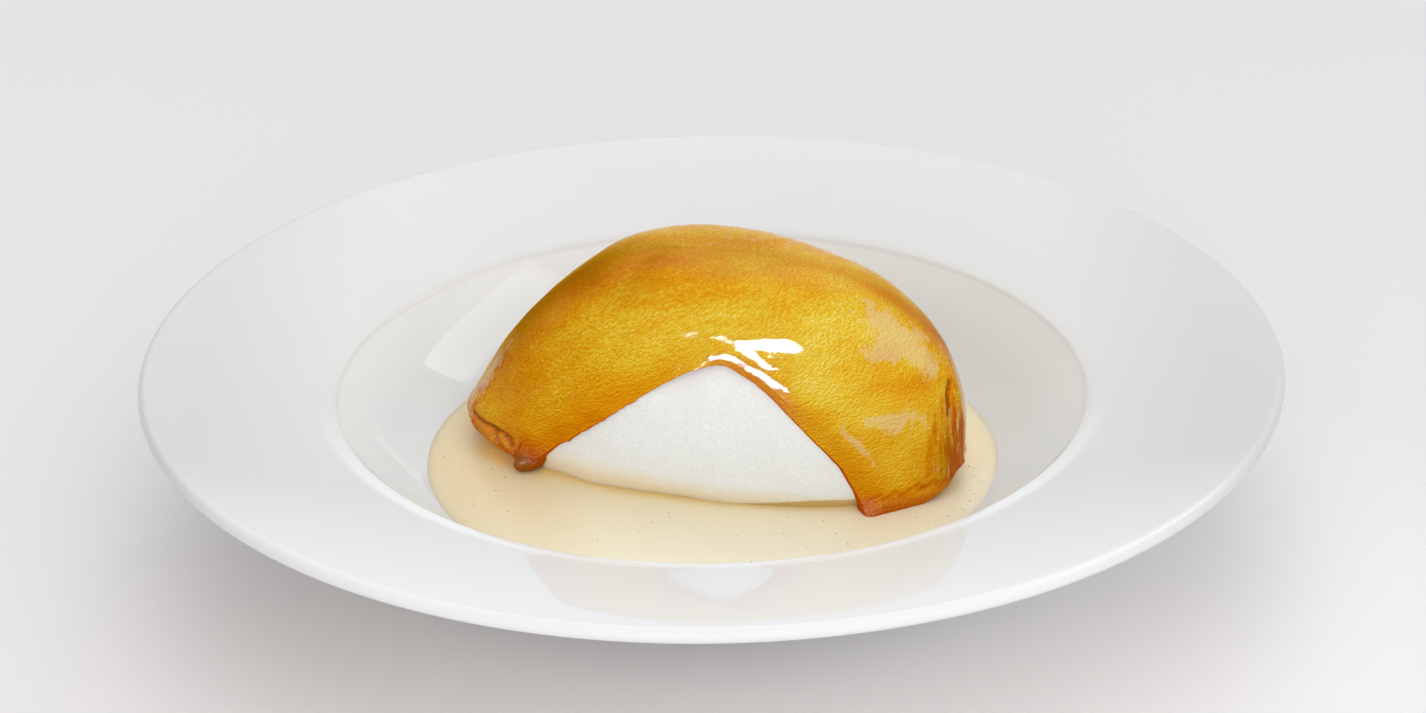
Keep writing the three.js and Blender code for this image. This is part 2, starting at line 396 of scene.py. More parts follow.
# Meringue: a ball drawn out to the mound, tucked in under its belly
meringue = {
    "inset": 2.6,       # below the mound's outer skin
    "belly": 6.0,       # its widest line above the custard
    "tuck": 7.0,        # how far the underside draws in
    "tuckPower": 2.75,
    "flank": 0.7,       # share of the ball's lower half that draws in, the rest closes the bottom
    "film": 1.6,        # custard left between it and the plate
    "fineness": 7,
    "dents": (11.0, 0.5),     # size and depth of the soft dents
    "crumb": (2.6, 0.12),     # size and depth of the finer unevenness
    "whites": ((0.80, 0.82, 0.82, 1), (0.88, 0.89, 0.885, 1)),
    "sparkle": 0.6,
    "sparkleSpread": (0.45, 0.75),
    "pores": (0.9, 0.25, 0.35),   # size, depth and strength
    "skin": (1.8, 0.4, 0.5),
    "soaked": (0.86, 0.765, 0.585, 1),
    "soakedBand": (8, 2.5),   # above the custard, from dry to soaked
    "soakedWaves": (9, 0.6),  # size and height of the waves in that
    "soakedSides": (-50, 30),
    "soakedSink": (-2.2, 2.6),    # it sinks from the left side to the right
    # painted shade: tan on the meringue just above the custard, higher at the right, where its belly
    # overhangs
    "tan": (0.63, 0.44, 0.17, 1),
    "tanBand": (0.4, -0.2),   # in the custard, and higher at the right
    "tanSides": (3, 26),
    "tanRise": 2.8,
    "roughness": (0.62, 0.3),
}
meringueDepth = meringue["belly"] + custardLevel - plate["floorTop"] - meringue["film"]


def meringuePoint(azimuth, climb):
    inset, flank = meringue["inset"], meringue["flank"]
    foot = riseAt(azimuth, meringue["belly"], inset)
    if climb >= 0:
        return moundPoint(azimuth, blend(foot, math.pi / 2, climb), inset)
    point = moundPoint(azimuth, foot, inset)
    under = min(-climb / flank, 1.0) * math.pi / 2
    draw = meringue["tuck"] * (1 - max(math.cos(under), 0.0) ** meringue["tuckPower"])
    turned = azimuth + math.radians(mound["turn"])
    point.x -= draw * math.cos(turned)
    point.y -= draw * math.sin(turned)
    point.z -= meringueDepth * math.sin(under)
    inward = max((-climb - flank) / (1 - flank), 0.0)
    point.x = blend(point.x, mound["centre"][0], inward)
    point.y = blend(point.y, mound["centre"][1], inward)
    return point


def meringueMaterial():
    material, tree, shader = newMaterial(
        "poachedMeringue", IOR=1.4, Specular_IOR_Level=0.0,
        Subsurface_Weight=0.35, Subsurface_Scale=4 * mm, Subsurface_Radius=(1.0, 0.85, 0.65),
    )
    place = placeOf(tree)
    x, _, z = addNode(tree, "SeparateXYZ", {"Vector": place}).outputs
    size, lift = meringue["soakedWaves"]
    waves = grainOf(tree, place, size, detail=4)
    wander = stretchTo(tree, waves, *grainSpread, -lift * mm, lift * mm)
    slope = stretchTo(tree, x, *[part * mm for part in meringue["soakedSides"] + meringue["soakedSink"]])
    height = sumOf(tree, sumOf(tree, z, wander), slope)
    soaked = bandOf(tree, height, [custardLevel + rise for rise in meringue["soakedBand"]])
    sparkle = grainOf(tree, place, meringue["sparkle"], detail=2)
    sparkle = stretchTo(tree, sparkle, *meringue["sparkleSpread"], 0, 1)
    cream = mixOf(tree, soaked, mixOf(tree, sparkle, *meringue["whites"]), meringue["soaked"])
    # painted shade: tan low down, just above the custard
    wedge = bandOf(tree, x, meringue["tanSides"], -meringue["tanRise"] * mm)
    tan = bandOf(tree, sumOf(tree, z, wedge), [custardLevel + rise for rise in meringue["tanBand"]])
    feed(tree, shader.inputs["Base Color"], mixOf(tree, tan, cream, meringue["tan"]))
    feed(tree, shader.inputs["Roughness"], stretchTo(tree, soaked, 0, 1, *meringue["roughness"]))
    size, depth, strength = meringue["pores"]
    skin = bumpOf(tree, dotsOf(tree, place, size), depth, strength)
    size, depth, strength = meringue["skin"]
    skin = bumpOf(tree, grainOf(tree, place, size, detail=5), depth, strength, skin)
    feed(tree, shader.inputs["Normal"], skin)
    return material


def makeMeringue():
    bm = bmesh.new()
    bmesh.ops.create_icosphere(bm, subdivisions=meringue["fineness"], radius=1)
    for vert in bm.verts:
        azimuth = math.atan2(vert.co.y, vert.co.x)
        climb = math.asin(max(min(vert.co.z, 1.0), -1.0)) / (math.pi / 2)
        vert.co = meringuePoint(azimuth, climb) * mm
    bm.normal_update()
    for size, depth in (meringue["dents"], meringue["crumb"]):
        for vert in bm.verts:
            vert.co += vert.normal * noise.noise(vert.co / (size * mm)) * depth * mm
    bmesh.ops.recalc_face_normals(bm, faces=bm.faces)
    piece = finishMesh(bm, "poachedMeringue", meringueMaterial())
    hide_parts("meringue")


# Caramel: a poured shell over the mound, open in front
caramel = {
    "columns": 520,
    "innerRows": 22,
    "rollRows": 8,
    "outerRows": 120,
    "rowPower": 1.15,      # above 1, the rows lie closer towards the edge
    "depth": 3.2,          # from the outer skin to where it is sunk in the meringue
    "droop": 0.6,          # its rounded edge hangs this far over
    "mmPerDegree": 1.15,   # for spacing the columns evenly along the edge
    "edgeSteps": 25,       # points from one knot of the edge to the next
    "uneven": (2.2, 6.0),  # lengths of the small waves along the edge
    "calmCrown": 0.25,     # swellings fade out over this part of the crown
    "dents": (15.0, 0.35),     # size and depth
    "ripples": (6.0, 0.11),
    "dentFree": 2.0,       # they fade out over this distance from the edge
    "glaze": 0.86,         # depth of the amber colour over the open surface
    "glazeAtRoll": 1.5,    # more of it round the edge itself
    "brownest": 0.85,      # where brown patches overlap
    "clearest": 0.9,
}
# Its lower edge once round: azimuth about the mound's own axis, height above the custard
caramelHem = [
    (-18.1, 0), (-15.5, 0), (-12, 0), (-9, 0.2), (-6, 1.4), (-3.5, 2.3), (-2.2, 3.6), (0, 4.8),
    (4.5, 4.9), (12, 4.2), (30, 1.8), (60, 3), (95, 1.8), (130, 3.6), (165, 4.4), (187, 6.2),
    (204, 5), (212.5, 3.8), (219, 3.2), (224.5, 0.9), (227.8, 3.2),
]
caramelArch = [
    (230.3, 7.2), (237.2, 11.6), (255, 20.8), (272, 28.8), (289, 35.2), (299, 37.9), (307, 39.2),
    (312.5, 38.3), (320.5, 34), (327.7, 26.3), (336.1, 14.6), (338.9, 8.2), (340.7, 3.2), (341.2, 0),
]
# How the shell ends along each stretch of its edge: thinned by so much over a reach, a ridge that rises
# over one width and falls away over another, darker and clearer over their own reaches, uneven by its
# jitter, with a painted highlight streak beside it, and matt
plainEdge = {
    "ridge": 0.0, "ridgeAt": 3.0, "ridgeWide": 1.5, "ridgeFall": 1.5,
    "clear": 0.0, "clearReach": 3.0, "streak": 0.0, "matt": 0.0,
}
caramelEdges = {
    "leftArch": {
        **plainEdge, "from": (226, 233), "to": (268, 298), "thin": 1.9, "reach": 9.0,
        "dark": 0.35, "darkReach": 4.5, "jitter": 0.45, "matt": 2.5,
    },
    "archTop": {
        **plainEdge, "from": (298, 307), "to": (309, 314), "thin": 1.2, "reach": 1.2,
        "ridge": 0.45, "ridgeAt": 3.4, "ridgeWide": 2.0, "ridgeFall": 7.0,
        "dark": 0.35, "darkReach": 2.6, "clear": 0.15, "clearReach": 2.0, "jitter": 0.12,
    },
    "rightArch": {
        **plainEdge, "from": (309, 314), "to": (324, 331), "thin": 1.2, "reach": 1.2,
        "ridge": 0.3, "ridgeAt": 3.6, "ridgeWide": 2.0, "ridgeFall": 7.0,
        "dark": 0.6, "darkReach": 3.0, "clear": 0.15, "clearReach": 2.0, "jitter": 0.12, "streak": 0.95,
    },
    "rightFoot": {
        **plainEdge, "from": (324, 331), "to": (340, 342), "thin": 2.0, "reach": 4.0,
        "dark": 0.25, "darkReach": 6.0, "jitter": 0.15, "streak": 0.95,
    },
    "hem": {
        **plainEdge, "from": (340, 342), "to": (586, 593), "thin": 0.5, "reach": 1.4,
        "ridge": 0.5, "ridgeAt": 1.5, "ridgeWide": 1.1, "ridgeFall": 1.1,
        "dark": 0.7, "darkReach": 2.6, "clear": 0.15, "jitter": 0.25,
    },
}
mattReach = (9.0, 14.0)    # full up to the first distance from the edge, none beyond the second
sheenStreak = {"away": 6.2, "wide": 1.1, "height": 16, "tall": 7}    # the painted highlight streak
# Swellings: azimuth and its spread, height and its spread, lift
caramelSwellings = [
    (224.5, 2.4, 1.5, 3.4, 2.4),   # the drip at the left foot
    (207, 15, 4.5, 2.4, 1.3),      # the thick lip beside it
    (197, 12, 8, 5, 1.2),
    (207, 12, 8.0, 1.1, -0.9),     # the hollow above the lip
    (200, 25, 12, 12, 0.6),        # the left flank
    (160, 25, 53, 5, 0.9),         # the shoulder at the upper left
    (55, 45, 54, 6, 0.7),          # the far side of the crown
    (341.5, 6, -1.0, 3.0, 1.7),    # the flared corner at the right foot
    (353, 2.2, 13, 11, 0.8),       # the fold that turns to the right side
    (0, 4, 26, 14, 1.3),           # folds down the right side
    (8, 3.5, 12, 14, 1.0),
    (1.5, 1.6, 9, 8, 0.8),
    (357, 1.3, 25, 7, -0.7),       # the crack between them
    (88, 5, 6, 9, 1.0),            # runs down the back
    (60, 4, 8, 10, 0.9),
]
cornerPull = (341, 2.5, -1.0, 3.5, 2.4)    # the flared corner is drawn sideways, in the same terms
# Colour that lies deeper or thinner in places, in the same terms with its amount last; over the upper
# left shoulder it is painted shade, over the front and right shoulder painted sheen
caramelDepthsShadeAndSheen = [
    (197, 13, 43, 14, 0.5),        # painted shade over the upper left shoulder
    (222, 32, 55.5, 2.5, 0.1),
    (245, 35, 56.2, 1.6, 0.1),
    (212, 9, 47, 5, 0.4),
    (219, 11, 51.5, 3, 0.3),
    (240, 20, 51, 4, 0.15),
    (265, 20, 43, 7, -0.2),
    (262, 55, 55, 2.2, 0.35),
    (310, 80, 57, 1.2, 0.2),
    (210, 14, 22, 16, 0.3),        # the left flank
    (248, 10, 19, 8, 0.28),        # along the left of the arch
    (235, 7, 12, 7, 0.35),
    (208, 12, 3.5, 2, -0.35),      # the bright lip
    (342, 4, 0.5, 3, 0.4),         # the flared corner
    (224.5, 4, 4, 4, 1.2),         # the drip
    (222, 5, 9, 3, 0.5),
    (214, 3, 6.0, 0.8, -0.4),
    (5, 3.5, 48, 4.5, 0.5),        # the right edge
    (358.5, 2.6, 12, 10, 0.9),     # the side face
    (356, 3, 31, 5, -0.3),
    (7, 5, 38, 6, 0.5),
    (347, 9, 2.5, 4.5, 0.25),      # towards the right hem
    (308, 38, 46, 7, -0.28),       # painted sheen over the front and right shoulder
    (343, 9, 47, 5, -0.2),
    (335, 9, 36, 6, -0.2),
    (338, 5, 27, 6, -0.2),
    (344, 8, 26, 5, -0.12),
    (350, 6, 33.5, 3, 0.4),        # below the haze
]
# Where it has burnt to brown, and painted shade along the left outline, over the upper left shoulder and
# over the crown
caramelBrownsAndShade = [
    (189, 15, 36, 18, 0.8),        # painted shade along the left outline
    (172, 26, 50, 7, 0.4),
    (206, 14, 49.5, 5, 0.42),
    (245, 25, 52, 4, 0.25),
    (0, 400, 57, 1.0, 0.2),        # painted shade over the crown
    (230, 14, 55.9, 0.9, 0.3),     # a thin line over the shoulder
    (224.5, 4, 2, 4, 0.9),         # the drip
    (208, 14, 2.6, 0.6, 0.5),      # the lip's underside
    (356, 4.5, 12, 10, 0.5),       # the side face
    (9, 8, 46, 9, 0.32),           # the right edge
    (7, 6, 36, 8, 0.25),
]
# Cracks and creases: the points of each line as azimuth and height, its half width and its strength
caramelCracks = [
    # over the lip
    ([(198.5, 8.2), (204, 7.9), (208.5, 8.3), (212.5, 8.2), (216.5, 7.6), (219, 6.4)], 0.45, 0.95),
    ([(208.5, 8.3), (212, 6.6), (216, 5.2), (219.5, 3.4)], 0.4, 0.75),
    # round the drip
    ([(221.5, 7.4), (220.8, 4.4), (226, 4.0), (229.5, 4.9)], 0.5, 0.8),
    # down the right side
    ([(358.4, 31), (357.1, 28), (357, 25), (356.4, 22.6)], 0.5, 1.0),
    ([(352.5, 22), (351.3, 16), (351, 8)], 0.6, 0.4),
    # over the hem
    ([(341.5, 3.2), (342.6, 4.9), (344, 4), (345.2, 5.3), (346.4, 4.3), (348, 5.2)], 0.5, 0.45),
    ([(349, 6.3), (350.5, 5.0), (352, 6.4), (353.5, 5), (356, 5.6)], 0.5, 0.7),
]
crackLook = {
    "reach": 6.0,              # nothing changes further from its line
    "groove": 0.4,             # its depth
    "glaze": 1.4,              # colour that gathers in it
    "char": 1.5,               # brown along its middle
    "charFrom": (0.6, 1.0),    # where it is this strong
}
# Where a pale sheen is painted into the colour, as painted reflections of the lights
caramelSheens = [
    (353, 5, 47.5, 3.5, 0.95),
    (354, 6, 42, 3, 0.9),
    (348, 4, 41.5, 2.5, 0.85),
    (355.5, 3, 36, 3.5, 0.85),
    (346.5, 5, 25, 3, 0.95),
    (341.5, 3.5, 25.5, 1.8, 0.6),
    (193, 5, 18, 9, 0.95),
    (45, 30, 54, 3, 0.6),
    (4, 4, 18, 9, 0.6),
]
# Where the gloss is dulled
caramelMatts = [
    (342, 7, 0, 7, 1.6),           # the flared corner
    (224.5, 4, 2, 4, 0.6),         # the drip
]
# Where it is clear enough to look into
caramelClearings = [
    (205, 17, 4, 4, 0.3),
    (3, 4, 14, 12, 0.3),
]
# Where it is drawn into upright folds
caramelFolds = [
    (358, 5.5, 14, 13, 1.0),
    (4, 4, 30, 12, 0.55),
    (196, 5, 16, 11, 0.9),
    (200, 6, 5, 3, 0.6),
]


def patchwork(patches, azimuth, height):
    return sum(
        amount * bell(turnFrom(azimuth, middle), spread) * bell(height - centre, reach)
        for middle, spread, centre, reach, amount in patches
    )


def crackShade(azimuth, height):
    here = Vector((0, 0))
    shade = 0.0
    for knots, width, amount in caramelCracks:
        line = []
        for knot, level in knots:
            line.append(Vector((turnFrom(knot, azimuth) * caramel["mmPerDegree"], level - height)))
        away = crackLook["reach"]
        if min(abs(point.x) for point in line) > away:
            continue
        for start, end in zip(line, line[1:]):
            share = geometry.intersect_point_line(here, start, end)[1]
            away = min(away, start.lerp(end, min(max(share, 0), 1)).length)
        shade += amount * bell(away, width)
    return shade


def stretchShare(azimuth, stretch):
    share = 0.0
    for turn in (-360, 0, 360):
        share += step(*stretch["from"], azimuth + turn) * (1 - step(*stretch["to"], azimuth + turn))
    return share


def edgeColumns():
    loop = [Vector(knot) for knot in caramelHem + caramelArch]
    whole = Vector((360, 0))
    loop = [loop[-1] - whole] + loop + [loop[0] + whole, loop[1] + whole]
    line = []
    for before, start, end, after in zip(loop, loop[1:], loop[2:], loop[3:]):
        leave = start + (end - before) / 6
        arrive = end - (after - start) / 6
        line += geometry.interpolate_bezier(start, leave, arrive, end, caramel["edgeSteps"])[:-1]
    line.append(loop[-2])
    scale = caramel["mmPerDegree"]
    reach = [0.0]
    for a, b in zip(line, line[1:]):
        reach.append(reach[-1] + math.hypot((b.x - a.x) * scale, b.y - a.y))
    fine, broad = caramel["uneven"]
    columns, at = [], 0
    for index in range(caramel["columns"]):
        goal = reach[-1] * index / caramel["columns"]
        while at < len(line) - 2 and reach[at + 1] < goal:
            at += 1
        share = (goal - reach[at]) / (reach[at + 1] - reach[at])
        column = line[at].lerp(line[at + 1], min(share, 1.0))
        uneven = noise.noise((goal / fine, 0, 0)) + noise.noise((goal / broad, 7, 0))
        jitter = sum(edge["jitter"] * stretchShare(column.x, edge) for edge in caramelEdges.values())
        column.y += uneven * jitter
        columns.append(column)
    columns.append(columns[0] + whole)
    return columns


def caramelSwell(azimuth, height):
    near = math.sqrt(max(1 - height / mound["height"], 0.0))
    return step(0, caramel["calmCrown"], near) * patchwork(caramelSwellings, azimuth, height)


def skinPoint(azimuth, rise, thin=0.0):
    angle = math.radians(azimuth)
    height = moundPoint(angle, rise).z - custardLevel
    swell = caramelSwell(azimuth, height) - thin
    point = moundPoint(angle, rise, -swell)
    point.z = custardLevel + height + swell * math.sin(rise)
    pull = patchwork([cornerPull], azimuth, height)
    turned = angle + math.radians(mound["turn"])
    return point + Vector((math.sin(turned), -math.cos(turned), 0)) * pull


def edgeTree(columns):
    tree = kdtree.KDTree(len(columns))
    for index, (azimuth, height) in enumerate(columns):
        tree.insert(skinPoint(azimuth, riseAt(math.radians(azimuth), height)), index)
    tree.balance()
    return tree


def caramelMarks(azimuth, height, edgeAzimuth, away):
    cracked = crackShade(azimuth, height)
    brown = min(patchwork(caramelBrownsAndShade, azimuth, height), caramel["brownest"])
    marks = {
        "thin": cracked * crackLook["groove"],
        "dark": patchwork(caramelDepthsShadeAndSheen, azimuth, height) + cracked * crackLook["glaze"],
        "clear": patchwork(caramelClearings, azimuth, height),
        "paintedSheen": patchwork(caramelSheens, azimuth, height),
        "fold": patchwork(caramelFolds, azimuth, height),
        "brown": brown + step(*crackLook["charFrom"], cracked) * crackLook["char"],
        "matt": patchwork(caramelMatts, azimuth, height),
    }
    # the painted highlight streak beside the right side of the arch and its foot
    streak = bell(away - sheenStreak["away"], sheenStreak["wide"])
    streak *= bell(height - sheenStreak["height"], sheenStreak["tall"])
    for edge in caramelEdges.values():
        part = stretchShare(edgeAzimuth, edge)
        flank = edge["ridgeWide"] if away < edge["ridgeAt"] else edge["ridgeFall"]
        marks["thin"] += part * edge["thin"] * (1 - step(0, edge["reach"], away))
        marks["thin"] -= part * edge["ridge"] * bell(away - edge["ridgeAt"], flank)
        marks["dark"] += part * edge["dark"] * bell(away, edge["darkReach"])
        marks["clear"] += part * edge["clear"] * bell(away, edge["clearReach"])
        marks["paintedSheen"] += part * edge["streak"] * streak
        marks["matt"] += part * edge["matt"] * (1 - step(*mattReach, away))
    return marks


def caramelColumn(azimuth, edgeHeight, columns, tree):
    angle = math.radians(azimuth)
    foot = riseAt(angle, edgeHeight)
    outer = []
    for row in range(caramel["outerRows"] + 1):
        rise = blend(foot, math.pi / 2, (row / caramel["outerRows"]) ** caramel["rowPower"])
        _, nearest, away = tree.find(skinPoint(azimuth, rise))
        height = moundPoint(angle, rise).z - custardLevel
        marks = caramelMarks(azimuth, height, columns[nearest].x, away)
        outer.append((skinPoint(azimuth, rise, marks["thin"]), marks))
    innerFoot = riseAt(angle, edgeHeight, caramel["depth"])
    inner = []
    for row in range(caramel["innerRows"] + 1):
        rise = blend(math.pi / 2, innerFoot, row / caramel["innerRows"])
        inner.append(moundPoint(angle, rise, caramel["depth"]))
    down = (outer[0][0] - outer[3][0]).normalized()    # the way the skin runs over its last rows
    middle = (outer[0][0] + inner[-1]) / 2
    roll = []
    for row in range(1, caramel["rollRows"]):
        bend = math.pi * row / caramel["rollRows"]
        across = (inner[-1] - middle) * math.cos(bend)
        roll.append(middle + across + down * caramel["droop"] * math.sin(bend))
    rim = dict(outer[0][1], dark=caramel["glazeAtRoll"], paintedSheen=0.0, fold=0.0)
    return [(point, rim) for point in inner + roll] + outer


# Its colours by depth, and the sizes of what shows in them
caramelLook = {
    "amber": [
        (0.0, (0.82, 0.74, 0.24, 1)),
        (0.125, (0.735, 0.515, 0.03, 1)),
        (0.25, (0.69, 0.31, 0.003, 1)),
        (0.375, (0.62, 0.185, 0.001, 1)),
        (0.5, (0.555, 0.11, 0.001, 1)),
        (0.75, (0.43, 0.04, 0.001, 1)),
        (1.0, (0.33, 0.015, 0.0, 1)),
    ],
    "deepest": 4,                        # the depth where the last of them is reached
    "brown": (0.30, 0.105, 0.002, 1),
    "char": (0.15, 0.036, 0.004, 1),
    # the colour of the painted sheen
    "sheen": (0.72, 0.63, 0.47, 1),
    "clouds": 9,
    "cloudDepth": 0.2,                   # how much deeper or thinner they make the colour
    "wrinkles": 0.62,
    "wrinkleLight": (0.12, 0, -0.16),    # the side from which they are shaded
    "wrinkleSpread": 0.15,
    "wrinkleShade": 0.34,
    "wrinkleRelief": (0.6, 0.8),         # depth and strength
    "grooves": 1.4,                      # in the folds
    "grooveRelief": (1.2, 0.8),
    "streaks": 3.2,                      # in the painted sheen
    "pits": 2.3,                         # in the gloss
    "waves": (3.0, 0.12, 0.4),           # size, depth and strength
    # what one thing makes of another: from low to high, to low to high
    "grooveToDark": (0.5, 0.62, 0, 1.4),
    "grooveToSheen": (0.47, 0.37, 0, 0.9),
    "streakToSheen": (0.35, 0.65, -0.45, 0.45),
    "sheenToMask": (0.4, 0.75, 0, 0.3),
    "depthToGloss": (1.15, 1.7, 1.0, 0.25),
    "brownToGloss": (0, 0.6, 1, 0),
    "pitToGloss": (0.12, 0.17, 0, 1),
    "clearToRough": (0.1, 0.5, 0.42, 0.05),
}


def caramelMaterial():
    material, tree, shader = newMaterial(
        "pouredCaramel", IOR=1.4, Specular_IOR_Level=0.0, Coat_Roughness=0.01, Coat_IOR=1.12,
        Subsurface_Weight=0.15, Subsurface_Scale=2 * mm, Subsurface_Radius=(1.0, 0.5, 0.1),
    )
    place = placeOf(tree)
    glaze, clear, folded = [markOf(tree, name) for name in ("glaze", "clear", "fold")]
    browned, sheenMark, matt = [markOf(tree, name) for name in ("brown", "paintedSheen", "matt")]
    clouds = grainOf(tree, placeOf(tree, stretch=(2.5, 1, 1), tilt=-20), caramelLook["clouds"])
    deeper = caramelLook["cloudDepth"]
    film = sumOf(tree, glaze, stretchTo(tree, clouds, *grainSpread, -deeper, deeper))
    # wrinkles, with painted light and shade: the grain taken from the same grain moved towards the light
    flow = {"stretch": (1.7, 1, 1), "tilt": -25}
    fine = {"size": caramelLook["wrinkles"], "detail": 2, "roughness": 0.5}
    grain = grainOf(tree, placeOf(tree, **flow), **fine)
    litGrain = grainOf(tree, placeOf(tree, shift=caramelLook["wrinkleLight"], **flow), **fine)
    wrinkles = sumOf(tree, litGrain, grain, "SUBTRACT")
    spread, shade = caramelLook["wrinkleSpread"], caramelLook["wrinkleShade"]
    film = sumOf(tree, film, stretchTo(tree, wrinkles, -spread, spread, -shade, shade))
    upright = placeOf(tree, stretch=(1, 1, 8))
    grooves = grainOf(tree, upright, caramelLook["grooves"], detail=2, roughness=0.6)
    darkGrooves = stretchTo(tree, grooves, *caramelLook["grooveToDark"])
    film = sumOf(tree, film, sumOf(tree, folded, darkGrooves, "MULTIPLY"))
    amber = rampOf(tree, stretchTo(tree, film, 0, caramelLook["deepest"], 0, 1), caramelLook["amber"])
    amber = mixOf(tree, browned, amber, caramelLook["brown"])
    amber = mixOf(tree, stretchTo(tree, browned, 1, 2, 0, 1), amber, caramelLook["char"])
    # painted sheen: the painted reflections and streak, random streaks over them, and pale grooves in
    # the folds
    drawn = placeOf(tree, stretch=(1, 1, 2.2))
    streaks = grainOf(tree, drawn, caramelLook["streaks"], detail=6, roughness=0.7)
    sheen = sumOf(tree, sheenMark, stretchTo(tree, streaks, *caramelLook["streakToSheen"]))
    paleGrooves = stretchTo(tree, grooves, *caramelLook["grooveToSheen"])
    sheen = sumOf(tree, sheen, sumOf(tree, folded, paleGrooves, "MULTIPLY"))
    paintedSheen = stretchTo(tree, sheen, *caramelLook["sheenToMask"])
    feed(tree, shader.inputs["Base Color"], mixOf(tree, paintedSheen, amber, caramelLook["sheen"]))
    feed(tree, shader.inputs["Transmission Weight"], clear)
    # gloss: less where it is deep or brown, none in the pits
    coated = stretchTo(tree, glaze, *caramelLook["depthToGloss"])
    coated = sumOf(tree, coated, stretchTo(tree, browned, *caramelLook["brownToGloss"]), "MULTIPLY")
    smooth = stretchTo(tree, dotsOf(tree, place, caramelLook["pits"]), *caramelLook["pitToGloss"])
    coated = sumOf(tree, sumOf(tree, coated, clear), smooth, "MULTIPLY")
    polish = sumOf(tree, 1.0, matt, "SUBTRACT")
    feed(tree, shader.inputs["Coat Weight"], sumOf(tree, coated, polish, "MULTIPLY"))
    feed(tree, shader.inputs["Roughness"], stretchTo(tree, clear, *caramelLook["clearToRough"]))
    feed(tree, shader.inputs["Normal"], bumpOf(tree, grain, *caramelLook["wrinkleRelief"]))
    gloss = bumpOf(tree, sumOf(tree, folded, grooves, "MULTIPLY"), *caramelLook["grooveRelief"])
    size, depth, strength = caramelLook["waves"]
    gloss = bumpOf(tree, grainOf(tree, place, size, detail=1), depth, strength, gloss)
    feed(tree, shader.inputs["Coat Normal"], gloss)
    return material


def makeCaramel():
    columns = edgeColumns()
    tree = edgeTree(columns)
    firstOuter = caramel["innerRows"] + caramel["rollRows"]
    rows = firstOuter + caramel["outerRows"]
    bm = bmesh.new()
    glaze, clear, paintedSheen, fold, brown, matt, outside = [
        bm.verts.layers.float.new(name)
        for name in ("glaze", "clear", "paintedSheen", "fold", "brown", "matt", "outside")
    ]
    bmesh.ops.create_grid(bm, x_segments=caramel["columns"], y_segments=rows, size=1)
    made = {}
    for vert in bm.verts:
        column = round((vert.co.x + 1) / 2 * caramel["columns"])
        row = round((vert.co.y + 1) / 2 * rows)
        if column not in made:
            made[column] = caramelColumn(*columns[column], columns, tree)
        point, marks = made[column][row]
        vert.co = point * mm
        fromEdge = (point - made[column][firstOuter][0]).length
        vert[outside] = step(0, caramel["dentFree"], fromEdge) if row > firstOuter else 0.0
        vert[glaze] = caramel["glaze"] + marks["dark"]
        vert[clear] = min(marks["clear"], caramel["clearest"])
        vert[paintedSheen] = marks["paintedSheen"]
        vert[fold] = min(marks["fold"], 1.0)
        vert[brown] = min(marks["brown"], 2.0)    # brown up to 1, charred from there to 2
        vert[matt] = min(marks["matt"], 1.0)
    bmesh.ops.remove_doubles(bm, verts=bm.verts, dist=weldGap * mm)
    bmesh.ops.recalc_face_normals(bm, faces=bm.faces)
    bm.normal_update()
    for size, depth in (caramel["dents"], caramel["ripples"]):
        for vert in bm.verts:
            vert.co += vert.normal * noise.noise(vert.co / (size * mm)) * depth * vert[outside] * mm
    piece = finishMesh(bm, "pouredCaramel", caramelMaterial())
    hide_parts("caramel")


# Custard: a pool between the meringue's foot and the plate's wall, climbing a little at both
custard = {
    "ringSteps": 320,
    "rows": 60,
    "underRows": 8,
    "intoMeringue": 1.6,
    "intoPlate": 0.3,
    "climbMeringue": (0.9, 1.3),   # height and reach of the climb
    "climbPlate": (0.15, 1.2),
    "cream": (0.78, 0.645, 0.395, 1),
    # painted light and shade, the cream lighter towards the right and the front and darker towards the
    # left: along which axis, between which places, how much and the colour
    "lightAndShade": [
        ("X", (25, 65), 0.6, (0.95, 0.83, 0.56, 1)),
        ("Y", (5, -70), 1.0, (0.97, 0.91, 0.71, 1)),
        ("X", (-30, -66), 0.9, (0.74, 0.605, 0.365, 1)),
    ],
    # painted shadow round the meringue's foot
    "footShadowColour": (0.76, 0.49, 0.13, 1),
    # painted amber light under the caramel's lip
    "amberLightColour": (0.97, 0.68, 0.22, 1),
}
# Painted amber light, where light through the caramel's lip falls on it: place, spread and amount
amberLightPools = [
    ((-61, 8), 3.0, 0.5),
    ((-59, 3), 3.2, 0.9),
    ((-56, -1.5), 3.2, 0.9),
    ((-52, -6), 3.0, 0.7),
    ((-46, -11), 3.0, 0.4),
]
footShadow = {"reach": 2.6, "amount": 0.8}    # painted shadow round the meringue's foot


def footLine(azimuth, inset):
    under = math.asin(meringue["belly"] / meringueDepth)
    point = meringuePoint(azimuth, -meringue["flank"] * under / (math.pi / 2))
    turned = azimuth + math.radians(mound["turn"])
    return Vector((point.x - inset * math.cos(turned), point.y - inset * math.sin(turned)))


def poolRadius(height):
    return plate["floorRadius"] + math.sqrt(wallRadius ** 2 - (wallCentre - height) ** 2)


def amberLightAt(place):
    amberLight = 0.0
    for spot, spread, amount in amberLightPools:
        amberLight += amount * bell((place - Vector(spot)).length, spread)
    return min(amberLight, 1.0)


